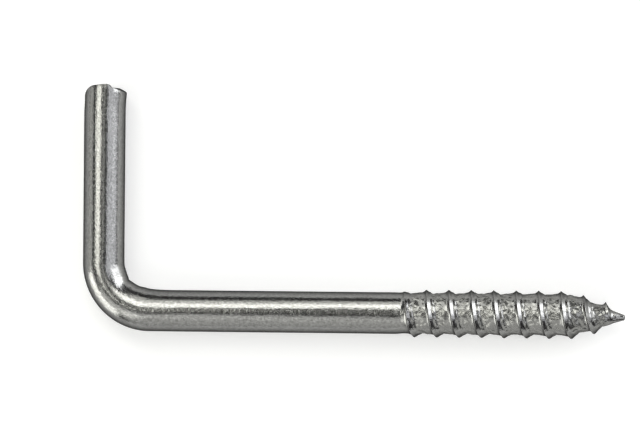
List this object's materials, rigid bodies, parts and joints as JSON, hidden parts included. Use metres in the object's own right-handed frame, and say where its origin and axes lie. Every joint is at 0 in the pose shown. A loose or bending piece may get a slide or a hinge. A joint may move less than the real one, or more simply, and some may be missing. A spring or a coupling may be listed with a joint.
{
  "type": "screw hook",
  "caption": "L-shaped screw hook of round zinc-plated wire, with a plain arm square to the shank and a wood-screw thread with a gimlet point.",
  "frame": {"origin": "on the screw's axis, where the thread starts; the hook lies flat with its plane at z = 0", "axes": "+X along the screw to its point, +Y up the arm to its cropped end, +Z square to the hook's plane"},
  "size_m": [0.05, 0.0229, 0.0044],
  "materials": {
    "zinc_plated_steel": "bright zinc plate over drawn wire"
  },
  "bodies": {
    "root": {"screw_hook": "zinc_plated_steel"}
  },
  "joints": []
}
